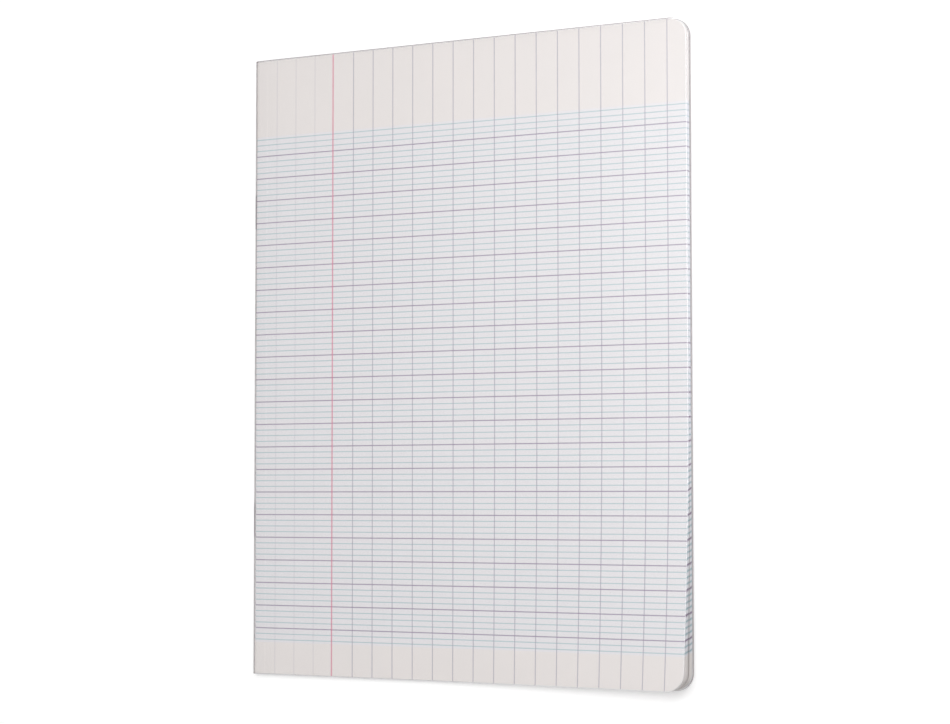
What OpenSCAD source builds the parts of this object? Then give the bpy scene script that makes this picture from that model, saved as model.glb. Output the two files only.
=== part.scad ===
// Stapled exercise book, closed and lying on its back cover.
// X runs from the spine to the fore edge, Y from the tail to the head, Z up from the table.
// All lengths are in millimetres.

/* [Cover] */
// Height of the book from tail to head
book_h = 219; // [150:1:300]
// Width of the book from the spine to the fore edge
book_w = 168.6; // [130:0.2:230]
// Thickness of the polypropylene sheet
cover_t = 0.3; // [0.2:0.05:0.5]
// Radius of the two corners at the fore edge
corner_r = 6; // [3:0.5:12]
// Distance from the spine to the crease on which the front cover opens
crease_inset = 5.5; // [4.5:0.5:9]
// Width of the crease
crease_w = 0.1; // [0.05:0.05:0.2]

/* [Leaves] */
// Number of leaves, two to a folded sheet
leaf_count = 24; // [20:2:48]
// Thickness of one leaf
leaf_t = 0.105; // [0.09:0.005:0.15]
// Air between the leaves and the cover
air_gap = 0.05; // [0.03:0.01:0.1]
// How far the leaves stop short of the cover at head, tail and fore edge
trim_inset = 0.3; // [0.1:0.1:1]

/* [Spine] */
// How far each face sinks towards the fold
shoulder_drop = 0.4; // [0.1:0.1:0.5]
// Length over which the front sinks towards the fold
front_shoulder = 11; // [8:1:20]
// Length over which the back rises towards the fold
back_shoulder = 6; // [4:1:12]

/* [Curled corner] */
// Lift of the front cover at the tail corner of the fore edge
curl_lift = 5.5; // [3:0.5:8]
// Length of the tail edge that the curl takes
curl_len_x = 104; // [60:2:110]
// Length of the fore edge that the curl takes
curl_len_y = 104; // [60:2:130]
// Leaves in the group that stays nearly flat
back_leaves = 11; // [8:1:12]
// Lift of that group at the corner
back_lift = 1.6; // [0.5:0.1:1.6]
// Opening between the two groups of leaves at the corner
group_gap = 1.2; // [0.4:0.1:1.3]

/* [Staples] */
// Diameter of the wire
wire_d = 0.5; // [0.4:0.05:0.6]
// Width of a staple across its crown
crown_w = 12.5; // [11:0.5:14]
// Length of each clinched end beyond its bend
clinch_len = 4.2; // [2:0.2:4.8]
// Bend radius on the wire's centre line
bend_r = 0.5; // [0.4:0.05:0.55]
// Distance between the middles of the two staples
staple_pitch = 110; // [60:5:120]
// Clearance between a staple and what it passes through or lies on
wire_clear = 0.03; // [0.02:0.01:0.05]

/* [Hidden] */

// Whole thickness at the fore edge, and the plane of the fold
book_t = 2 * (cover_t + air_gap) + leaf_count * leaf_t;
fold_z = book_t / 2;

// The staples' crowns stand out of the spine, and the whole lies centred on X = 0
stand_out = wire_d + wire_clear;
spine_x = -(book_w + stand_out) / 2 + stand_out;
fore_x = spine_x + book_w;

// The fold is a half round whose middle line runs up the spine
fold_r = fold_z - shoulder_drop;
fold_x = spine_x + fold_r;
crease_x = spine_x + crease_inset;

// Exponents of the curl along X and along Y: it starts gently and steepens to the corner
curl_pow_x = 1.5;
curl_pow_y = 2;

// Steps of the curved surfaces
fold_steps = 6;
arc_steps = 24;
shoulder_steps = 5;
curl_steps_x = 15;
curl_steps_y = 14;
corner_steps = 6;
wire_fn = 24;
bend_fn = 48;
corner_fn = 48;

// Share of the way into the curl, from 0 where the sheets are flat to 1 at the corner's two edges
function curl_share_x(x) = max(0, (x - fore_x + curl_len_x) / curl_len_x);
function curl_share_y(y) = max(0, (-book_h / 2 + curl_len_y - y) / curl_len_y);
function curl(x, y) = pow(curl_share_x(x), curl_pow_x) * pow(curl_share_y(y), curl_pow_y);

// Sinking of a face between the fold and the end of its shoulder
function shoulder(x, len) = shoulder_drop * pow(max(0, 1 - (x - fold_x) / len), 2);

// Half height of the fold's round at x, for a round drawn in by inset
function fold_half(x, inset) = sqrt(max(0, pow(fold_r - inset, 2) - pow(fold_x - x, 2)));

// Underside and top of the book drawn in by inset, the top without its curl
function under_z(x, inset) =
    x < fold_x ? fold_z - fold_half(x, inset) : inset + shoulder(x, back_shoulder);
function flat_top_z(x, inset) =
    x < fold_x ? fold_z + fold_half(x, inset) : book_t - inset - shoulder(x, front_shoulder);
function top_z(x, y, inset) = flat_top_z(x, inset) + curl_lift * curl(x, y);

// Stations along X: round the fold, down the shoulder, over the flat and through the curl
first_angle = 15;
function fold_stations(inset) =
    [for (i = [0 : fold_steps - 1])
        fold_x - (fold_r - inset) * cos(first_angle + (90 - first_angle) * i / fold_steps)];
function shoulder_stations(from_x, to_x) =
    [for (i = [0 : shoulder_steps]) from_x + (to_x - from_x) * i / shoulder_steps];
function curl_stations(to_x) =
    [for (i = [0 : curl_steps_x]) fore_x - curl_len_x + (to_x - fore_x + curl_len_x) * i / curl_steps_x];

// Stations along Y for a sheet of height h: tail corner, curl, flat and head corner
function y_stations(h) = concat(
    [for (i = [corner_steps : -1 : 1]) -h / 2 + corner_r - corner_r * sin(90 * i / corner_steps)],
    [for (i = [0 : curl_steps_y]) let (a = -h / 2 + corner_r, b = -book_h / 2 + curl_len_y)
        a + (b - a) * i / curl_steps_y],
    [for (i = [0 : corner_steps]) h / 2 - corner_r + corner_r * sin(90 * i / corner_steps)]
);

// How far the rounded corner draws the fore edge in at y
function corner_in(y, h) =
    let (past = max(0, abs(y) - (h / 2 - corner_r)))
    corner_r - sqrt(max(0, corner_r * corner_r - past * past));

// A station beyond the curl's start moves in with the rounded corner, in proportion
function station_x(x, y, h) =
    x - corner_in(y, h) * curl_share_x(x);

// Faces of a grid's surface, seen from above or from below. base is the number of its first point.
function top_faces(nx, ny, base) =
    [for (j = [0 : ny - 2]) for (i = [0 : nx - 2]) let (a = base + j * nx + i)
        each [[a, a + nx, a + nx + 1], [a, a + nx + 1, a + 1]]];
function under_faces(nx, ny, base) =
    [for (f = top_faces(nx, ny, base)) [f[2], f[1], f[0]]];

// Numbers of the points round a grid's rim, counter-clockwise from above
function rim(nx, ny) = concat(
    [for (i = [0 : nx - 1]) i],
    [for (j = [1 : ny - 1]) j * nx + nx - 1],
    [for (i = [nx - 2 : -1 : 0]) (ny - 1) * nx + i],
    [for (j = [ny - 2 : -1 : 1]) j * nx]
);

// Wall round the rim between two surfaces, each given as the number that its rim points have
function wall_faces(low, high) =
    [for (i = [0 : len(low) - 1]) let (k = (i + 1) % len(low))
        each [[low[i], high[i], high[k]], [low[i], high[k], low[k]]]];

// A closed sheet between two surfaces over the stations xs and ys
module sheet(xs, ys, h, low, high) {
    nx = len(xs);
    ny = len(ys);
    n = nx * ny;
    places = [for (y = ys) for (x = xs) [station_x(x, y, h), y]];
    points = concat(
        [for (p = places) [p[0], p[1], low(p[0], p[1])]],
        [for (p = places) [p[0], p[1], high(p[0], p[1])]]
    );
    edge = rim(nx, ny);
    polyhedron(points, concat(
        under_faces(nx, ny, 0),
        top_faces(nx, ny, n),
        wall_faces(edge, [for (e = edge) n + e])
    ), convexity = 6);
}

// Two groups of leaves that are one solid where they lie flat and part in the curled corner
module parted_block(xs, ys, h, low, split, gap, high) {
    nx = len(xs);
    ny = len(ys);
    n = nx * ny;
    places = [for (y = ys) for (x = xs) [station_x(x, y, h), y]];
    splits = [for (p = places) split(p[0], p[1])];
    gaps = [for (p = places) gap(p[0], p[1])];
    points = concat(
        [for (p = places) [p[0], p[1], low(p[0], p[1])]],
        [for (k = [0 : n - 1]) [places[k][0], places[k][1], splits[k]]],
        [for (k = [0 : n - 1]) [places[k][0], places[k][1], splits[k] + gaps[k]]],
        [for (p = places) [p[0], p[1], high(p[0], p[1])]]
    );
    // Where the groups touch, both use the lower group's point
    lower = [for (k = [0 : n - 1]) n + k];
    upper = [for (k = [0 : n - 1]) gaps[k] > 0 ? 2 * n + k : n + k];
    parted = [for (f = top_faces(nx, ny, 0)) if (gaps[f[0]] + gaps[f[1]] + gaps[f[2]] > 0) f];
    edge = rim(nx, ny);
    polyhedron(points, concat(
        under_faces(nx, ny, 0),
        [for (f = parted) [lower[f[0]], lower[f[1]], lower[f[2]]]],
        [for (f = parted) [upper[f[2]], upper[f[1]], upper[f[0]]]],
        top_faces(nx, ny, 3 * n),
        wall_faces(edge, [for (e = edge) lower[e]]),
        wall_faces([for (e = edge) upper[e]], [for (e = edge) 3 * n + e])
    ), convexity = 8);
}

// Outline of the whole cover seen from above, with its fore edge corners rounded
module outline() {
    square_w = book_w - corner_r;
    translate([spine_x, -book_h / 2]) square([square_w, book_h]);
    translate([spine_x + square_w - corner_r, -book_h / 2 + corner_r])
        square([2 * corner_r, book_h - 2 * corner_r]);
    for (side = [-1, 1])
        translate([fore_x - corner_r, side * (book_h / 2 - corner_r)])
            circle(r = corner_r, $fn = corner_fn);
}

// Section of the back cover: from the front crease round the fold and along the back to the fore edge
function fold_arc(inset) =
    [for (i = [1 : arc_steps - 1]) let (a = 90 + 180 * i / arc_steps)
        [fold_x, fold_z] + (fold_r - inset) * [cos(a), sin(a)]];
function section_path(inset) = concat(
    [for (x = shoulder_stations(crease_x - crease_w / 2, fold_x)) [x, flat_top_z(x, inset)]],
    fold_arc(inset),
    [for (x = shoulder_stations(fold_x, fold_x + back_shoulder)) [x, under_z(x, inset)]],
    [[fore_x, under_z(fore_x, inset)]]
);
module wrap_section() {
    inner = section_path(cover_t);
    polygon(concat(section_path(0), [for (i = [len(inner) - 1 : -1 : 0]) inner[i]]));
}

// One staple's wire, or with grow the channel that it needs. The crown lies outside the spine.
crown_x = spine_x - wire_clear - wire_d / 2;
clinch_x = spine_x + cover_t + air_gap + leaf_count / 2 * leaf_t + wire_d / 2;
module wire_bend(r) {
    rotate_extrude(angle = 90, $fn = bend_fn) translate([bend_r, 0]) circle(r = r, $fn = wire_fn);
}
module wire_rod(r, len) {
    cylinder(r = r, h = len, $fn = wire_fn);
}
module staple_half(grow, with_crown) {
    r = wire_d / 2 + grow;
    run_y = crown_w / 2 - bend_r;
    if (with_crown) {
        translate([crown_x, run_y, fold_z]) rotate([90, 0, 0]) wire_rod(r, run_y);
        translate([crown_x + bend_r, run_y, fold_z]) rotate([0, 0, 90]) wire_bend(r);
    }
    translate([crown_x + bend_r, crown_w / 2, fold_z])
        rotate([0, 90, 0]) wire_rod(r, clinch_x - crown_x - 2 * bend_r);
    translate([clinch_x - bend_r, run_y, fold_z]) wire_bend(r);
    translate([clinch_x, run_y, fold_z]) rotate([90, 0, 0]) wire_rod(r, clinch_len + grow);
}
module staple(y, grow = 0, with_crown = true) {
    translate([0, y, 0]) {
        staple_half(grow, with_crown);
        mirror([0, 1, 0]) staple_half(grow, with_crown);
    }
}
module staple_channels() {
    for (side = [-1, 1])
        staple(side * staple_pitch / 2, wire_clear);
}

module front_cover() {
    xs = concat(
        shoulder_stations(crease_x + crease_w / 2, fold_x + front_shoulder),
        curl_stations(fore_x)
    );
    color([0.93, 0.94, 0.95, 0.5])
        sheet(xs, y_stations(book_h), book_h,
            function (x, y) top_z(x, y, cover_t),
            function (x, y) top_z(x, y, 0));
}

module back_cover() {
    color([0.86, 0.87, 0.88])
        difference() {
            intersection() {
                rotate([90, 0, 0])
                    linear_extrude(height = book_h, center = true) wrap_section();
                linear_extrude(height = book_t + 1) outline();
            }
            staple_channels();
        }
}

module pages() {
    inset = cover_t + air_gap;
    page_h = book_h - 2 * trim_inset;
    xs = concat(
        fold_stations(inset),
        shoulder_stations(fold_x, fold_x + front_shoulder),
        curl_stations(fore_x - trim_inset)
    );
    back_share = back_leaves / leaf_count;
    color([0.94, 0.93, 0.92])
        difference() {
            parted_block(xs, y_stations(page_h), page_h,
                function (x, y) under_z(x, inset),
                function (x, y) under_z(x, inset)
                    + back_share * (flat_top_z(x, inset) - under_z(x, inset))
                    + back_lift * curl(x, y),
                function (x, y) group_gap * curl(x, y),
                function (x, y) top_z(x, y, inset));
            staple_channels();
        }
}

module upper_staple() {
    color([0.75, 0.76, 0.78]) staple(staple_pitch / 2);
}

module lower_staple() {
    color([0.75, 0.76, 0.78]) staple(-staple_pitch / 2);
}

front_cover();
back_cover();
pages();
upper_staple();
lower_staple();
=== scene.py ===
import math
import random

import bmesh
import bpy
from mathutils import Matrix, Vector


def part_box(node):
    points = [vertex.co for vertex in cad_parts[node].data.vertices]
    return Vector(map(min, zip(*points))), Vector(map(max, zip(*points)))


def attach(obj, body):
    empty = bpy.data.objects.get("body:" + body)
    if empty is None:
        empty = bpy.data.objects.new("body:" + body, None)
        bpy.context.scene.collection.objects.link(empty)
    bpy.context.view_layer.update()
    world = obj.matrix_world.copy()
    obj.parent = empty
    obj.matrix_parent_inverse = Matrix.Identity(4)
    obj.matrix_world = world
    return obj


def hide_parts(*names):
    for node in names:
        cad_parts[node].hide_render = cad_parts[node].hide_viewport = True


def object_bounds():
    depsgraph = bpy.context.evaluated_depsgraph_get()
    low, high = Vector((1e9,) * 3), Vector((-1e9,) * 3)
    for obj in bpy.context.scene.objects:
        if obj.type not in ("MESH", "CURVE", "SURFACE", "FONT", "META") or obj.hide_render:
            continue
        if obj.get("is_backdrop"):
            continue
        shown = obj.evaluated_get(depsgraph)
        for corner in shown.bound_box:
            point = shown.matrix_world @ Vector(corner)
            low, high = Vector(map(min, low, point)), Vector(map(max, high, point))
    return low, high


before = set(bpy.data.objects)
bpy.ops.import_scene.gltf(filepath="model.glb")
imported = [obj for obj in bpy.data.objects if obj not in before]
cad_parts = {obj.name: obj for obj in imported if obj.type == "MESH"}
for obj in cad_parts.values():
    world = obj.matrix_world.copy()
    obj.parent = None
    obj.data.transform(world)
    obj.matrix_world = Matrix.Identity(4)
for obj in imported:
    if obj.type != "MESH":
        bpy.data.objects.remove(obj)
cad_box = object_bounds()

MM = 0.001

# Sizes of the book, in metres. The outer ones come from the frame.
cover_low, cover_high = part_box("back_cover")
leaves_low, leaves_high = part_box("pages")
SPINE_X = cover_low.x
FORE_X = cover_high.x
BOOK_H = cover_high.y - cover_low.y
LEAVES_H = leaves_high.y - leaves_low.y
LEAVES_X = leaves_high.x
CREASE_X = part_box("front_cover")[0].x
CREASE_W = 0.1 * MM
CREASE_GAP = 0.02 * MM
COVER_T = 0.3 * MM
AIR = 0.05 * MM
LEAF_COUNT = 24
LEAF_PITCH = 0.105 * MM
LEAF_T = 0.1 * MM
CORNER_R = 6 * MM
FOLD_PRESS = 0.66
SHOULDER_DROP = 0.4 * MM
FRONT_SHOULDER = 11 * MM
BACK_SHOULDER = 6 * MM

# The curled corner
CURL_LIFT = 5.5 * MM
CURL_LEN_X = 104 * MM
CURL_LEN_Y = 104 * MM
CURL_POW_X = 1.5
CURL_POW_Y = 2
BACK_LEAVES = 11
BACK_LIFT = 1.6 * MM
GROUP_GAP = 1.15 * MM
TIGHT_GROUP = 0.5 * MM

BOOK_T = 2 * (COVER_T + AIR) + LEAF_COUNT * LEAF_PITCH
FOLD_Z = BOOK_T / 2
FOLD_R = FOLD_Z - SHOULDER_DROP
FOLD_X = SPINE_X + FOLD_R
LEAVES_INSET = COVER_T + AIR

# The ruling, in millimetres. FIRST_MAIN is the first main line's height above the book's middle,
# and the rest is from the spine. The thin lines go on above the first main line and below the last.
MAIN_PITCH = 8.0
THIN_PITCH = 2.0
MAIN_LINES = 22
HEAD_MARGIN = 34.37
FIRST_MAIN = LEAVES_H / 2 / MM - HEAD_MARGIN
MARGIN_LINE = 33.12
FIRST_UPRIGHT = 41.58
VERSO_MARGIN_LINE = 137.58
VERSO_FIRST_UPRIGHT = 129.58
UPRIGHTS = 16
THIN_ABOVE = 6.0
THIN_BELOW = 4.0

# The verso's upright lines that show through left of the margin line, in pitches from the first
# upright
SHOWN_FROM = -4.5
SHOWN_TO = -1.5

# How finely the sheets are divided
CORNER_ROWS = 8
CURL_ROWS = 22
FLAT_ROWS = 6
SHOULDER_COLUMNS = 8
FLAT_COLUMNS = 3
CURL_COLUMNS = 24
WRAP_COLUMNS = 5
LEAF_FOLD_STEPS = 8
FILM_FOLD_STEPS = 16

# Staples
WIRE_R = 0.25 * MM
CROWN_W = 12.5 * MM
CLINCH_LEN = 4.2 * MM
BEND_R = 0.5 * MM
STAPLE_Y = 55 * MM
CROWN_SUNK = 0.2 * MM
TIP_BEVEL = 0.06 * MM

# The band along a film's outline that is painted grey as painted shade, and how grey it is painted
# there. The fold gets painted shade too, only where it is seen edge on. Face on is 0 and edge on is
# 1: it is clear below FOLD_CLEAR and fully grey from FOLD_DARK.
RIM_W = 0.45 * MM
FRONT_FORE_SHADE = 0.3
BACK_FORE_SHADE = 1.0
HEAD_SHADE = 0.9
TAIL_SHADE = 0.3
FOLD_CLEAR = 0.28
FOLD_DARK = 0.75
FILM_BEVEL = 0.05 * MM

# Play of the trimmed edges, and the drift of the deeper leaves' ruling in the lower half
TRIM_PLAY = 0.12 * MM
RULE_DRIFT = 1.2
DRIFT_FROM = -15 * MM
DRIFT_OVER = 30 * MM

# Widths of the printed lines and the softness of their sides, in millimetres
THIN_W = 0.3
MAIN_W = 0.34
UPRIGHT_W = 0.34
RED_W = 0.52
LINE_SOFT = 0.12

# Paper, inks, and how strongly each covers. SHOW_THROUGH is for the verso's uprights.
PAPER_WARM = (0.865, 0.808, 0.782, 1.0)
PAPER_COOL = (0.845, 0.80, 0.78, 1.0)
BLOCK_TINT = (0.98, 1.012, 1.065, 1.0)
BLUE = (0.37, 0.54, 0.58, 1.0)
VIOLET = (0.32, 0.22, 0.34, 1.0)
GREY_VIOLET = (0.32, 0.28, 0.385, 1.0)
RED = (0.72, 0.15, 0.28, 1.0)
THIN_INK = 0.92
MAIN_INK = 0.95
UPRIGHT_INK = 0.78
RED_INK = 0.85
SHOW_THROUGH = 0.24

# The leaves' cut edges, in millimetres. The ink is wider on them towards the tail, partly as its
# bleeding and partly as painted shade on the lower edges: from NO_BLEED above the height
# BLEED_AND_SHADE_FROM to TAIL_BLEED_AND_SHADE below BLEED_AND_SHADE_FULL. It strays by up to LEAF_STRAY.
EDGE_DARK = (0.87, 0.86, 0.87, 1.0)
EDGE_LIGHT = (0.97, 0.955, 0.945, 1.0)
EDGE_GAMMA = 1.15
TAIL_BLEED_AND_SHADE = 0.28
NO_BLEED = -0.05
BLEED_AND_SHADE_FROM = 10.0
BLEED_AND_SHADE_FULL = -60.0
LEAF_STRAY = 0.7

# The shade in the opening between the two groups of leaves
OPENING_SHADE = 0.3
SHADE_TINT = (0.28, 0.26, 0.27, 1.0)
OPENING_DEPTH = 3 * MM

# Film and wire. The film is partly metallic, so that it adds gloss and little colour of its own.
FILM_TINT = (0.84, 0.85, 0.87, 1.0)
FILM_METALLIC = 0.6
FILM_HAZE = 0.045
GLOSS_FACING = 0.035
GLOSS_EDGE_ON = 0.6
# How opaque the painted shade on the films' outline and fold is, and the painted shade's colour
RIM_SHADE_OPACITY = 0.88
FILM_SHADE_TINT = (0.25, 0.205, 0.21, 1.0)
# Hazes of the film's cut edge: the lit copy's as painted light, the shaded copy's as painted shade
LIT_EDGE_HAZE = 0.3
SHADED_EDGE_HAZE = 0.85
STEEL_DARK = (0.42, 0.42, 0.44, 1.0)
STEEL_LIGHT = (0.62, 0.62, 0.64, 1.0)

# Light: each lamp's name, place, size in metres and power in watts
OVERHEAD = ("overhead", (0.16, 0.06, 0.62), 0.45, 1.9)
SOFTBOX = ("softbox", (-0.1, 0.2, 0.88), 0.4, 1.25)
LOW_FILL = ("low_fill", (0.42, 0.34, 0.07), 0.12, 0.85)
WORLD_LIGHT = 0.4

# The floor glows in what the camera sees, less near the book than far from it
FLOOR_SIZE = 4.0
FLOOR_DROP = 0.3 * MM
FLOOR_TINT = (0.92, 0.92, 0.92, 1.0)
LIFT_NEAR_AT = 0.16
LIFT_FAR_AT = 0.8
FLOOR_LIFT_NEAR = 0.24
FLOOR_LIFT_FAR = 0.6
WHITE = (1.0, 1.0, 1.0, 1.0)

CAMERA_LENS = 89.118
CAMERA_AT = Vector((386.06, -46.94, 702.41)) * MM
CAMERA_TARGET = Vector((6.033, -1.284, 2.87)) * MM
CAMERA_ROLL = -0.033

draw = random.Random(24)


# Form of the closed book

def share_x(x):
    return max(0.0, (x - FORE_X + CURL_LEN_X) / CURL_LEN_X)


def share_y(y):
    return max(0.0, (CURL_LEN_Y - BOOK_H / 2 - y) / CURL_LEN_Y)


def curl(x, y):
    return share_x(x) ** CURL_POW_X * share_y(y) ** CURL_POW_Y


def shoulder(x, length):
    return SHOULDER_DROP * max(0.0, 1 - (x - FOLD_X) / length) ** 2


def under_z(x, inset):
    return inset + shoulder(x, BACK_SHOULDER)


def over_z(x, inset):
    return BOOK_T - inset - shoulder(x, FRONT_SHOULDER)


def corner_in(y, height):
    """How far the rounded corner draws the fore edge in at y, on a sheet of that height."""
    past = min(CORNER_R, max(0.0, abs(y) - (height / 2 - CORNER_R)))
    return CORNER_R - math.sqrt(CORNER_R ** 2 - past ** 2)


# Stations of the sheets' grids

def spread(start, end, steps):
    """Even steps from start to end, without the end."""
    return [start + (end - start) * i / steps for i in range(steps)]


def rows_of(height):
    """Stations up the page, close together in the corners and through the curl."""
    straight = height / 2 - CORNER_R
    arc = [CORNER_R * math.sin(math.pi / 2 * i / CORNER_ROWS) for i in range(CORNER_ROWS + 1)]
    arc.insert(-1, CORNER_R - RIM_W)
    arc.sort()
    flat_from = CURL_LEN_Y - BOOK_H / 2
    rows = [-straight - a for a in reversed(arc[1:])]
    rows += spread(-straight, flat_from, CURL_ROWS)
    rows += spread(flat_from, straight, FLAT_ROWS)
    rows += [straight + a for a in arc]
    return rows


def columns_of(start, end):
    """Stations across the front from start, on the shoulder or at the fold, to the fore edge."""
    shoulder_end = FOLD_X + FRONT_SHOULDER
    curl_start = FORE_X - CURL_LEN_X
    return (spread(start, shoulder_end, SHOULDER_COLUMNS)
            + spread(shoulder_end, curl_start, FLAT_COLUMNS)
            + spread(curl_start, end - RIM_W, CURL_COLUMNS) + [end - RIM_W, end])


# Sheets

def grid_sheet(bm, columns, rows, place, marks):
    """A grid of quads with a column and a row of points at each station, put where place says.
    marks names the attributes and says how each point's number is worked out."""
    floats = bm.verts.layers.float
    layers = [(floats.get(label) or floats.new(label), mark) for label, mark in marks.items()]
    made = bmesh.ops.create_grid(bm, x_segments=len(columns) - 1, y_segments=len(rows) - 1, size=0.5)
    for v in made["verts"]:
        column = columns[round((v.co.x + 0.5) * (len(columns) - 1))]
        row = rows[round((v.co.y + 0.5) * (len(rows) - 1))]
        v.co = place(column, row)
        for layer, mark in layers:
            v[layer] = mark(column, row)
    return {f for v in made["verts"] for f in v.link_faces}


def folded_columns(front, back, arc_steps):
    """Stations along a folded sheet: in along the back, round the fold and out along the front.
    Each is a side and its distance X, or its angle round the fold."""
    return ([("back", x) for x in reversed(back)]
            + [("fold", 270 - 180 * i / arc_steps) for i in range(1, arc_steps)]
            + [("front", x) for x in front])


def round_the_fold(radius, angle, y):
    a = math.radians(angle)
    return Vector((FOLD_X + radius * math.cos(a), y, FOLD_Z + radius * math.sin(a)))


def uneven_steps(count):
    """Rising shares between 0 and 1 for the leaves of a group, which don't part evenly."""
    steps = [draw.uniform(0.5, 1.5) for _ in range(count)]
    return [(sum(steps[:i]) + step / 2) / sum(steps) for i, step in enumerate(steps)]


BACK_SHARES = uneven_steps(BACK_LEAVES)
FRONT_SHARES = uneven_steps(LEAF_COUNT - BACK_LEAVES)


def leaf_lift(leaf, y):
    """How far the full curl would lift a leaf at y. The front group parts from the back one first,
    and its own leaves part towards the corner."""
    if leaf < BACK_LEAVES:
        return BACK_LIFT * BACK_SHARES[leaf]
    opening = GROUP_GAP / max(0.01, share_y(y))
    low = min(BACK_LIFT + opening, CURL_LIFT - TIGHT_GROUP)
    return low + (CURL_LIFT - low) * FRONT_SHARES[leaf - BACK_LEAVES]


def leaf_z(leaf, x, y):
    """Middle of a leaf's thickness. Leaves are counted up from the back cover."""
    low = under_z(x, LEAVES_INSET)
    high = over_z(x, LEAVES_INSET)
    return low + (high - low) * (leaf + 0.5) / LEAF_COUNT + leaf_lift(leaf, y) * curl(x, y)


def rule_drift(leaf, y):
    """The deeper leaves' ruling lies higher up the page in the book's lower half."""
    depth = (LEAF_COUNT - 1 - leaf) / (LEAF_COUNT - 1)
    down = min(1.0, max(0.0, (DRIFT_FROM - y) / DRIFT_OVER))
    return RULE_DRIFT * depth * down * down * (3 - 2 * down)


def opening_shade(leaf, x, y):
    """The two leaves beside the opening between the groups are darker near the fore edge."""
    if leaf not in (BACK_LEAVES - 1, BACK_LEAVES):
        return 0.0
    return share_y(y) * max(0.0, 1 - (LEAVES_X - x) / OPENING_DEPTH)


def folded_sheet(bm, k):
    """Sheet k, counted from the outside, is two leaves and the fold between them."""
    sheets = LEAF_COUNT // 2
    fold_radius = (FOLD_R - LEAVES_INSET) * (sheets - k - 0.5) / sheets
    end_x = LEAVES_X - draw.uniform(0.0, TRIM_PLAY)
    shift_y = draw.uniform(-0.5, 0.5) * TRIM_PLAY
    height = LEAVES_H - TRIM_PLAY

    def leaf_of(side):
        return LEAF_COUNT - 1 - k if side == "front" else k

    def place(station, y):
        side, at = station
        if side == "fold":
            return round_the_fold(fold_radius, at, y)
        x = at - corner_in(y, height) * share_x(at)
        return Vector((x, y + shift_y * share_x(at), leaf_z(leaf_of(side), x, y)))

    def rule_shift(station, y):
        return rule_drift(leaf_of(station[0]), y)

    def shade(station, y):
        side, at = station
        return 0.0 if side == "fold" else opening_shade(leaf_of(side), at, y)

    across = columns_of(FOLD_X, end_x)
    faces = grid_sheet(bm, folded_columns(across, across, LEAF_FOLD_STEPS), rows_of(height), place,
                       {"rule_shift": rule_shift, "opening": shade})
    for f in faces:
        f.material_index = 0 if f.calc_center_median().z > FOLD_Z else 1
        f.smooth = True


def at_rim(x, y, fore_shade):
    """How grey a film is painted there, as painted shade: only on its outline, and most at the fore
    edge.
    """
    if x > FORE_X - RIM_W / 2:
        return fore_shade
    if abs(y) > (BOOK_H - RIM_W) / 2:
        return HEAD_SHADE if y > 0 else TAIL_SHADE
    return 0.0


def front_film_sheet(bm):
    def place(x, y):
        at = x - corner_in(y, BOOK_H) * share_x(x)
        return Vector((at, y, over_z(at, COVER_T / 2) + CURL_LIFT * curl(at, y)))

    columns = columns_of(CREASE_X - CREASE_W + CREASE_GAP, FORE_X)
    grid_sheet(bm, columns, rows_of(BOOK_H), place,
               {"rim": lambda x, y: at_rim(x, y, FRONT_FORE_SHADE)})


def back_film_sheet(bm):
    def place(station, y):
        side, at = station
        if side == "fold":
            return round_the_fold(FOLD_R - COVER_T / 2, at, y)
        x = at - corner_in(y, BOOK_H) * share_x(at)
        z = over_z(x, COVER_T / 2) if side == "front" else under_z(x, COVER_T / 2)
        return Vector((x, y, z))

    def rim(station, y):
        side, at = station
        if side == "fold":
            return at_rim(0.0, y, 0.0)
        return at_rim(at, y, BACK_FORE_SHADE)

    # The fold's mark, on which the film's material paints shade where the fold is seen edge on
    def fold(station, y):
        side, at = station
        return min(1.0, 3 * math.sin(math.radians(at - 90))) if side == "fold" else 0.0

    wrap_end = CREASE_X - CREASE_W
    front = spread(FOLD_X, wrap_end, WRAP_COLUMNS) + [wrap_end]
    stations = folded_columns(front, columns_of(FOLD_X, FORE_X), FILM_FOLD_STEPS)
    grid_sheet(bm, stations, rows_of(BOOK_H), place, {"rim": rim, "fold": fold})


def new_piece(name, bm, body, replaced, materials):
    mesh = bpy.data.meshes.new(name)
    bm.to_mesh(mesh)
    bm.free()
    for m in materials:
        mesh.materials.append(m)
    piece = bpy.data.objects.new(name, mesh)
    bpy.context.scene.collection.objects.link(piece)
    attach(piece, body)
    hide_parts(replaced)
    return piece


def thin_at_fold(piece):
    """The leaves are pressed thinner where they fold, so that they lie on each other there too."""
    group = piece.vertex_groups.new(name="thickness")
    for v in piece.data.vertices:
        past = (v.co.x - FOLD_X) / FRONT_SHOULDER
        group.add([v.index], FOLD_PRESS + (1 - FOLD_PRESS) * min(1.0, max(0.0, past)) ** 0.5, "REPLACE")
    return group.name


def give_thickness(piece, thickness, edge_bevel=0.0, rim_material=0, weights=""):
    """Turns a single layer into a closed sheet with flat cut edges. The two edges that meet at the
    crease get the piece's last material."""
    solid = piece.modifiers.new("Thickness", "SOLIDIFY")
    solid.thickness = thickness
    solid.offset = 0
    solid.vertex_group = weights
    solid.material_offset_rim = rim_material
    if edge_bevel:
        bevel = piece.modifiers.new("Edge", "BEVEL")
        bevel.width = edge_bevel
        bevel.segments = 2
        bevel.limit_method = "ANGLE"
        bevel.angle_limit = math.radians(60)
    made = bpy.data.meshes.new_from_object(
        piece.evaluated_get(bpy.context.evaluated_depsgraph_get()))
    piece.modifiers.clear()
    piece.vertex_groups.clear()
    piece.data = made
    for face in made.polygons:
        if abs(face.center.x - CREASE_X) < 2 * CREASE_W and abs(face.normal.x) > 0.3:
            face.material_index = len(made.materials) - 1
    made.shade_smooth()
    made.set_sharp_from_angle(angle=math.radians(40))


# Staples

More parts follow.
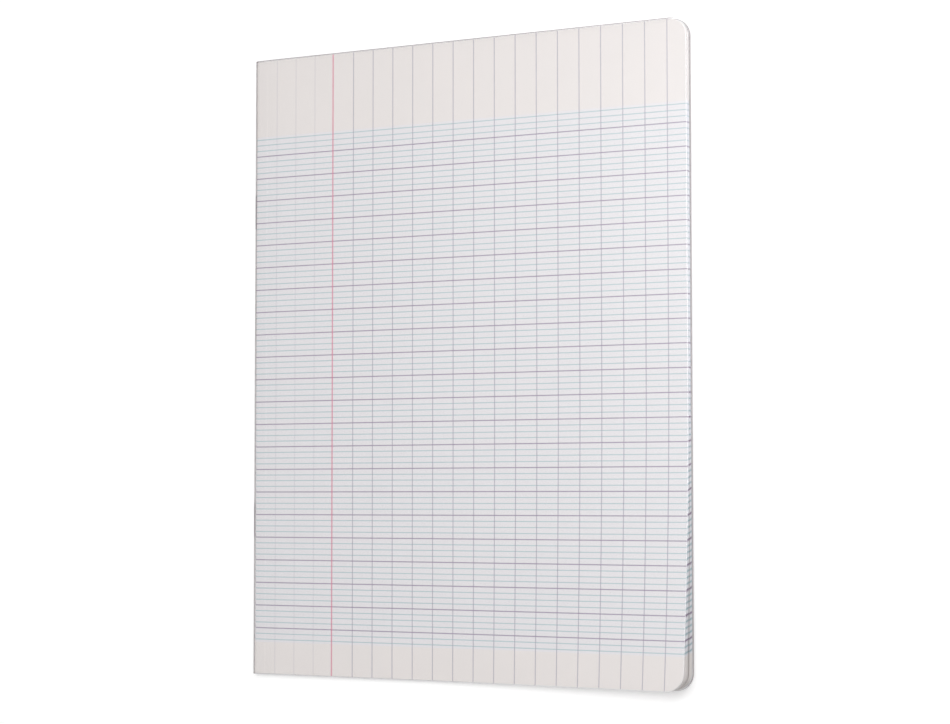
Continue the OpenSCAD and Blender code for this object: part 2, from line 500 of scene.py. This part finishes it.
def pull(bm, face, way):
    made = bmesh.ops.extrude_face_region(bm, geom=[face])["geom"]
    bmesh.ops.translate(bm, vec=way, verts=[g for g in made if isinstance(g, bmesh.types.BMVert)])
    return next(g for g in made if isinstance(g, bmesh.types.BMFace))


def bend(bm, face, centre):
    made = bmesh.ops.spin(bm, geom=[face, *face.edges, *face.verts], cent=centre, axis=(0, 0, 1),
                          angle=math.radians(90), steps=8)["geom_last"]
    return next(g for g in made if isinstance(g, bmesh.types.BMFace))


def staple(name, y):
    crown_x = SPINE_X + CROWN_SUNK - WIRE_R
    clinch_x = SPINE_X + LEAVES_INSET + LEAF_COUNT / 2 * LEAF_PITCH + WIRE_R
    run_y = CROWN_W / 2 - BEND_R
    leg = clinch_x - crown_x - 2 * BEND_R
    bm = bmesh.new()
    tip = Vector((clinch_x, run_y - CLINCH_LEN, 0))
    facing_tail = Matrix.Translation(tip) @ Matrix.Rotation(math.pi / 2, 4, "X")
    circle = bmesh.ops.create_circle(bm, cap_ends=True, segments=16, radius=WIRE_R,
                                     matrix=facing_tail)
    face = circle["verts"][0].link_faces[0]
    face = pull(bm, face, (0, CLINCH_LEN, 0))
    face = bend(bm, face, (clinch_x - BEND_R, run_y, 0))
    face = pull(bm, face, (-leg, 0, 0))
    face = bend(bm, face, (crown_x + BEND_R, run_y, 0))
    face = pull(bm, face, (0, -2 * run_y, 0))
    face = bend(bm, face, (crown_x + BEND_R, -run_y, 0))
    face = pull(bm, face, (leg, 0, 0))
    face = bend(bm, face, (clinch_x - BEND_R, -run_y, 0))
    face = pull(bm, face, (0, CLINCH_LEN, 0))
    ends = [e for f in bm.faces if len(f.verts) > 4 for e in f.edges]
    bmesh.ops.bevel(bm, geom=ends, offset=TIP_BEVEL, affect="EDGES", segments=2, profile=0.5,
                    material=-1)
    bmesh.ops.translate(bm, vec=(0, y, FOLD_Z), verts=bm.verts)
    bmesh.ops.recalc_face_normals(bm, faces=bm.faces)
    piece = new_piece(name + "_wire", bm, "book", name, [steel])
    piece.data.shade_smooth()
    piece.data.set_sharp_from_angle(angle=math.radians(50))


# Materials

class Graph:
    """A node tree with short ways to add nodes and arithmetic."""

    def __init__(self, tree):
        self.tree = tree

    def add(self, kind, inputs=None, **settings):
        node = self.tree.nodes.new(kind)
        for key, value in settings.items():
            setattr(node, key, value)
        for key, value in (inputs or {}).items():
            self.feed(node.inputs[key], value)
        return node

    def feed(self, socket, value):
        if isinstance(value, bpy.types.NodeSocket):
            self.tree.links.new(value, socket)
        else:
            socket.default_value = value

    def math(self, operation, a, b=0.0):
        return self.add("ShaderNodeMath", {0: a, 1: b}, operation=operation).outputs[0]

    def between(self, value, low, high):
        """1 where value lies between low and high."""
        return self.math("MULTIPLY", self.math("GREATER_THAN", value, low),
                         self.math("LESS_THAN", value, high))

    def line(self, distance, half_width, soft):
        """1 on a line and 0 beside it, from the distance to its middle."""
        return self.add("ShaderNodeMapRange",
                        {"Value": distance, "From Min": half_width - soft, "From Max": half_width + soft,
                         "To Min": 1.0, "To Max": 0.0}, interpolation_type="SMOOTHSTEP").outputs[0]

    def mix(self, factor, a, b):
        node = self.add("ShaderNodeMix", data_type="RGBA")
        self.feed(node.inputs[0], factor)
        self.feed(node.inputs[6], a)
        self.feed(node.inputs[7], b)
        return node.outputs[2]

    def tint(self, a, b):
        node = self.add("ShaderNodeMix", data_type="RGBA", blend_type="MULTIPLY")
        node.inputs[0].default_value = 1.0
        self.feed(node.inputs[6], a)
        self.feed(node.inputs[7], b)
        return node.outputs[2]

    def noise(self, place, scale, detail=2.0):
        return self.add("ShaderNodeTexNoise",
                        {"Vector": place, "Scale": scale, "Detail": detail}).outputs[0]

    def remap(self, value, start, end, low, high):
        """value from start to end as a number from low to high."""
        return self.add("ShaderNodeMapRange", {"Value": value, "From Min": start, "From Max": end,
                                               "To Min": low, "To Max": high}).outputs[0]

    def span(self, value, low, high):
        """value from 0 to 1 as a number from low to high."""
        return self.remap(value, 0.0, 1.0, low, high)

    def mark(self, name):
        """A number that the mesh holds at each point, by its attribute's name."""
        return self.add("ShaderNodeAttribute", attribute_name=name).outputs["Fac"]

    def stretch(self, place, scale):
        return self.add("ShaderNodeVectorMath", {0: place, 1: scale}, operation="MULTIPLY").outputs[0]


def new_group(name, inputs, outputs):
    tree = bpy.data.node_groups.new(name, "ShaderNodeTree")
    for way, sockets in (("INPUT", inputs), ("OUTPUT", outputs)):
        for label, kind in sockets.items():
            tree.interface.new_socket(label, in_out=way, socket_type=kind)
    graph = Graph(tree)
    return graph, graph.add("NodeGroupInput").outputs, graph.add("NodeGroupOutput").inputs


def ruling_group():
    """School ruling printed on paper. Place is in millimetres from the middle of the book."""
    g, ins, outs = new_group(
        "School ruling",
        {"Place": "NodeSocketVector", "Shift": "NodeSocketFloat", "Paper": "NodeSocketColor",
         "Margin line": "NodeSocketFloat", "First upright": "NodeSocketFloat", "Way": "NodeSocketFloat",
         "Bleed and shade": "NodeSocketFloat"},
        {"Ruled": "NodeSocketColor"})
    axes = g.add("ShaderNodeSeparateXYZ", {0: ins["Place"]}).outputs
    down = g.math("SUBTRACT", g.math("ADD", FIRST_MAIN, ins["Shift"]), axes["Y"])
    across = g.math("MULTIPLY", g.math("SUBTRACT", axes["X"], ins["First upright"]), ins["Way"])
    last_main = (MAIN_LINES - 1) * MAIN_PITCH
    last_upright = (UPRIGHTS - 1) * MAIN_PITCH

    def repeated(value, pitch, low, high, width, bleed_and_shade=0.0):
        near = g.math("SUBTRACT", g.math("PINGPONG", value, pitch / 2), bleed_and_shade)
        return g.math("MULTIPLY", g.line(near, width / 2, LINE_SOFT), g.between(value, low, high))

    half = MAIN_PITCH / 2
    edge = THIN_PITCH / 2
    thin = repeated(down, THIN_PITCH, -THIN_ABOVE - edge, last_main + THIN_BELOW + edge, THIN_W,
                    ins["Bleed and shade"])
    main = repeated(down, MAIN_PITCH, -half, last_main + half, MAIN_W, ins["Bleed and shade"])
    upright = repeated(across, MAIN_PITCH, -half, last_upright + half, UPRIGHT_W)
    shown_through = repeated(across, MAIN_PITCH, SHOWN_FROM * MAIN_PITCH, SHOWN_TO * MAIN_PITCH,
                             UPRIGHT_W)
    from_red = g.math("ABSOLUTE", g.math("SUBTRACT", axes["X"], ins["Margin line"]))
    red = g.line(from_red, RED_W / 2, LINE_SOFT)
    worn = g.span(g.noise(ins["Place"], 0.8), 0.85, 1.0)
    in_block = g.between(down, -THIN_ABOVE - edge, last_main + THIN_BELOW + edge)
    colour = g.mix(in_block, ins["Paper"], g.tint(ins["Paper"], BLOCK_TINT))
    for mask, strength, ink in ((thin, THIN_INK, BLUE), (shown_through, SHOW_THROUGH, GREY_VIOLET),
                                (upright, UPRIGHT_INK, GREY_VIOLET), (main, MAIN_INK, VIOLET),
                                (red, RED_INK, RED)):
        colour = g.mix(g.math("MULTIPLY", g.math("MULTIPLY", mask, strength), worn), colour, ink)
    g.feed(outs["Ruled"], colour)
    return g.tree


def fibre_group():
    """Fine tooth and faint clouds of paper or moulded film."""
    g, ins, outs = new_group(
        "Fine tooth",
        {"Place": "NodeSocketVector", "Tooth": "NodeSocketFloat", "Clouds": "NodeSocketFloat"},
        {"Height": "NodeSocketFloat", "Cloud": "NodeSocketFloat"})
    g.feed(outs["Height"], g.noise(ins["Place"], ins["Tooth"], 3.0))
    g.feed(outs["Cloud"], g.noise(ins["Place"], ins["Clouds"], 2.0))
    return g.tree


def start_material(name):
    """A new material's graph, its Principled BSDF, and Object coordinates in millimetres."""
    material = bpy.data.materials.new(name)
    material.use_nodes = True
    g = Graph(material.node_tree)
    shader = material.node_tree.nodes["Principled BSDF"]
    coords = g.add("ShaderNodeTexCoord").outputs["Object"]
    place = g.add("ShaderNodeVectorMath", {0: coords, "Scale": 1000.0}, operation="SCALE").outputs[0]
    return material, g, shader, place


def tooth(g, place, tooth_scale, cloud_scale):
    node = g.add("ShaderNodeGroup", node_tree=fine_tooth)
    g.feed(node.inputs["Place"], place)
    g.feed(node.inputs["Tooth"], tooth_scale)
    g.feed(node.inputs["Clouds"], cloud_scale)
    return node.outputs


def bump(g, shader, height, strength, distance):
    node = g.add("ShaderNodeBump", {"Height": height, "Strength": strength, "Distance": distance})
    g.feed(shader.inputs["Normal"], node.outputs[0])


def shaded(g, colour):
    """The paper's colour, darker where the opening between the groups shades it."""
    return g.mix(g.math("MULTIPLY", g.mark("opening"), OPENING_SHADE), colour, SHADE_TINT)


def ruled(g, values):
    """The ruling's colour, from its inputs by name. The deeper leaves' lines are shifted."""
    node = g.add("ShaderNodeGroup", node_tree=school_ruling)
    for label, value in values.items():
        g.feed(node.inputs[label], value)
    g.feed(node.inputs["Shift"], g.mark("rule_shift"))
    return node.outputs["Ruled"]


def ruled_paper(name, margin_line, first_upright, way):
    material, g, shader, place = start_material(name)
    fine = tooth(g, place, 3.0, 0.05)
    page = ruled(g, {"Place": place, "Paper": g.mix(fine["Cloud"], PAPER_COOL, PAPER_WARM),
                     "Margin line": margin_line, "First upright": first_upright, "Way": way,
                     "Bleed and shade": 0.0})
    g.feed(shader.inputs["Base Color"], shaded(g, page))
    g.feed(shader.inputs["Roughness"], g.span(fine["Height"], 0.72, 0.9))
    shader.inputs["Specular IOR Level"].default_value = 0.3
    bump(g, shader, fine["Height"], 0.12, 0.00002)
    return material


def leaf_edges():
    """The stacked leaves' cut edges: greyer paper in fine layers, where the ink has bled, wider towards
    the tail partly as painted shade.
    """
    material, g, shader, place = start_material("Cut leaf edges")
    layers = g.noise(g.stretch(place, (1.5, 0.12, 14.0)), 1.0, 3.0)
    stray = g.span(layers, -LEAF_STRAY, LEAF_STRAY)
    aside = g.add("ShaderNodeCombineXYZ", {"X": stray, "Y": stray}).outputs[0]
    strayed = g.add("ShaderNodeVectorMath", {0: place, 1: aside}, operation="ADD").outputs[0]
    height = g.add("ShaderNodeSeparateXYZ", {0: place}).outputs["Y"]
    strokes = ruled(g, {"Place": strayed, "Paper": g.mix(layers, EDGE_DARK, EDGE_LIGHT),
                        "Margin line": spine_mm + MARGIN_LINE,
                        "First upright": spine_mm + FIRST_UPRIGHT, "Way": 1.0,
                        # The ink widens towards the tail, partly as painted shade on the lower edges
                        "Bleed and shade": g.remap(height, BLEED_AND_SHADE_FROM, BLEED_AND_SHADE_FULL, NO_BLEED, TAIL_BLEED_AND_SHADE)})
    bled = g.add("ShaderNodeGamma", {"Color": strokes, "Gamma": EDGE_GAMMA}).outputs[0]
    g.feed(shader.inputs["Base Color"], shaded(g, bled))
    g.feed(shader.inputs["Roughness"], g.span(layers, 0.8, 0.95))
    shader.inputs["Specular IOR Level"].default_value = 0.2
    bump(g, shader, layers, 0.3, 0.00003)
    return material


def film_material(name, tint, haze, metallic, glare=1.0):
    """Clear polypropylene: see-through, faintly milky, with a soft gloss that grows at low angles.
    Without glare it has no gloss of its own. Its outline and its fold seen edge on get painted shade."""
    material, g, shader, place = start_material(name)
    fine = tooth(g, place, 1.6, 0.08)
    milky = g.span(fine["Cloud"], haze * 0.8, haze * 1.2)
    facing = g.add("ShaderNodeLayerWeight", {"Blend": 0.5}).outputs["Facing"]
    gloss = g.span(g.math("POWER", facing, 5.0), GLOSS_FACING * glare, GLOSS_EDGE_ON * glare)
    # Painted shade: the outline, and the fold where it is seen edge on, are made denser and dark
    rim = g.mark("rim")
    fold = g.mark("fold")
    bent = g.math("MULTIPLY", fold, g.remap(facing, FOLD_CLEAR, FOLD_DARK, 0.0, 1.0))
    dense = g.math("MAXIMUM", milky, g.math("MULTIPLY", g.math("MAXIMUM", rim, bent), RIM_SHADE_OPACITY))
    clear = g.math("SUBTRACT", 1.0, dense)
    g.feed(shader.inputs["Alpha"], g.math("ADD", dense, g.math("MULTIPLY", gloss, clear)))
    g.feed(shader.inputs["Roughness"], g.span(fine["Height"], 0.24, 0.36))
    cloudy = g.mix(fine["Cloud"], tint, [c * 0.97 for c in tint[:3]] + [1.0])
    # The base colour turns to the painted shade's colour on the outline and the fold
    g.feed(shader.inputs["Base Color"], g.mix(g.math("MAXIMUM", rim, fold), cloudy, FILM_SHADE_TINT))
    shader.inputs["Metallic"].default_value = metallic
    bump(g, shader, fine["Height"], 0.1, 0.00003)
    return material


def steel_material():
    material, g, shader, place = start_material("Staple wire")
    drawn = g.noise(g.stretch(place, (20.0, 0.6, 20.0)), 1.0, 4.0)
    g.feed(shader.inputs["Base Color"], g.mix(drawn, STEEL_DARK, STEEL_LIGHT))
    g.feed(shader.inputs["Roughness"], g.span(drawn, 0.25, 0.42))
    shader.inputs["Metallic"].default_value = 1.0
    bump(g, shader, drawn, 0.15, 0.00001)
    return material


school_ruling = ruling_group()
fine_tooth = fibre_group()
spine_mm = SPINE_X / MM
recto = ruled_paper("Ruled page front", spine_mm + MARGIN_LINE, spine_mm + FIRST_UPRIGHT, 1.0)
verso = ruled_paper("Ruled page back", spine_mm + VERSO_MARGIN_LINE,
                    spine_mm + VERSO_FIRST_UPRIGHT, -1.0)
cut_leaves = leaf_edges()
film = film_material("Clear film", FILM_TINT, FILM_HAZE, FILM_METALLIC)
crease = film_material("Clear film at the crease", FILM_TINT, 0.0, FILM_METALLIC, 0.0)
# The film's cut edge as a lit and a shaded copy: painted light on the front film, painted shade on the
# back
lit_film_edge = film_material("Clear film cut edge in the light", FILM_TINT, LIT_EDGE_HAZE, 0.0)
shaded_film_edge = film_material("Clear film cut edge in the shade", FILM_SHADE_TINT, SHADED_EDGE_HAZE, 0.0)
steel = steel_material()


# The book

def make_leaves(name, sheets, replaced):
    bm = bmesh.new()
    for k in sheets:
        folded_sheet(bm, k)
    piece = new_piece(name, bm, "book", replaced, [recto, verso, cut_leaves])
    give_thickness(piece, LEAF_T, rim_material=2, weights=thin_at_fold(piece))


def make_film(name, sheet, body, replaced, cut_edge):
    bm = bmesh.new()
    sheet(bm)
    piece = new_piece(name, bm, body, replaced, [film, cut_edge, crease])
    give_thickness(piece, COVER_T, edge_bevel=FILM_BEVEL, rim_material=1)


make_leaves("outer_sheet", [0], "pages")
make_leaves("inner_sheets", range(1, LEAF_COUNT // 2), "pages")
make_film("front_cover_film", front_film_sheet, "front_cover", "front_cover", lit_film_edge)
make_film("back_cover_film", back_film_sheet, "book", "back_cover", shaded_film_edge)
staple("upper_staple", STAPLE_Y)
staple("lower_staple", -STAPLE_Y)


# Floor, light and camera

def seen_rays(g):
    """1 for what the camera sees, directly, in a gloss or through something, and 0 for the light."""
    ray = g.add("ShaderNodeLightPath").outputs
    mirrored = g.math("MAXIMUM", ray["Is Glossy Ray"], ray["Is Transmission Ray"])
    return g.math("MAXIMUM", ray["Is Camera Ray"], mirrored)


def make_floor():
    bm = bmesh.new()
    bmesh.ops.create_grid(bm, x_segments=1, y_segments=1, size=FLOOR_SIZE)
    bmesh.ops.translate(bm, vec=(0, 0, -FLOOR_DROP), verts=bm.verts)
    mesh = bpy.data.meshes.new("floor")
    bm.to_mesh(mesh)
    bm.free()
    floor = bpy.data.objects.new("floor", mesh)
    bpy.context.scene.collection.objects.link(floor)
    material = bpy.data.materials.new("Pale floor")
    material.use_nodes = True
    g = Graph(material.node_tree)
    shader = material.node_tree.nodes["Principled BSDF"]
    shader.inputs["Base Color"].default_value = FLOOR_TINT
    shader.inputs["Roughness"].default_value = 0.9
    coords = g.add("ShaderNodeTexCoord").outputs["Object"]
    distance = g.add("ShaderNodeVectorMath", {0: coords}, operation="LENGTH").outputs["Value"]
    lift = g.remap(distance, LIFT_NEAR_AT, LIFT_FAR_AT, FLOOR_LIFT_NEAR, FLOOR_LIFT_FAR)
    shader.inputs["Emission Color"].default_value = WHITE
    g.feed(shader.inputs["Emission Strength"], g.math("MULTIPLY", seen_rays(g), lift))
    mesh.materials.append(material)
    floor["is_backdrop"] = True


def make_world():
    world = bpy.data.worlds.new("Studio")
    world.use_nodes = True
    g = Graph(world.node_tree)
    sky = world.node_tree.nodes["Background"].inputs
    sky["Color"].default_value = WHITE
    g.feed(sky["Strength"], g.span(seen_rays(g), WORLD_LIGHT, 1.0))
    bpy.context.scene.world = world


def aim(thing, at, target, up, roll=0.0):
    """Puts a lamp or the camera at a place, looking at target with up towards the top of its frame."""
    forward = (target - at).normalized()
    right = forward.cross(up).normalized()
    basis = Matrix((right, right.cross(forward), -forward)).transposed().to_4x4()
    thing.matrix_world = Matrix.Translation(at) @ basis @ Matrix.Rotation(math.radians(roll), 4, "Z")


def make_lamp(name, at, size, watts):
    data = bpy.data.lights.new(name, "AREA")
    data.size = size
    data.energy = watts
    lamp = bpy.data.objects.new(name, data)
    bpy.context.scene.collection.objects.link(lamp)
    aim(lamp, Vector(at), Vector((0, 0, 0)), Vector((0, 0, 1)))
    return lamp


def make_camera():
    data = bpy.data.cameras.new("camera")
    data.sensor_width = 36.0
    data.lens = CAMERA_LENS
    camera = bpy.data.objects.new("camera", data)
    bpy.context.scene.collection.objects.link(camera)
    aim(camera, CAMERA_AT, CAMERA_TARGET, Vector((0, 1, 0)), CAMERA_ROLL)
    bpy.context.scene.camera = camera


make_floor()
make_world()
make_lamp(*OVERHEAD)
make_lamp(*SOFTBOX)
make_lamp(*LOW_FILL).visible_glossy = False
make_camera()
bpy.context.scene.view_settings.view_transform = "Standard"

box_lists = {name: [list(corner) for corner in box]
             for name, box in (("cad", cad_box), ("visual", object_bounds()))}
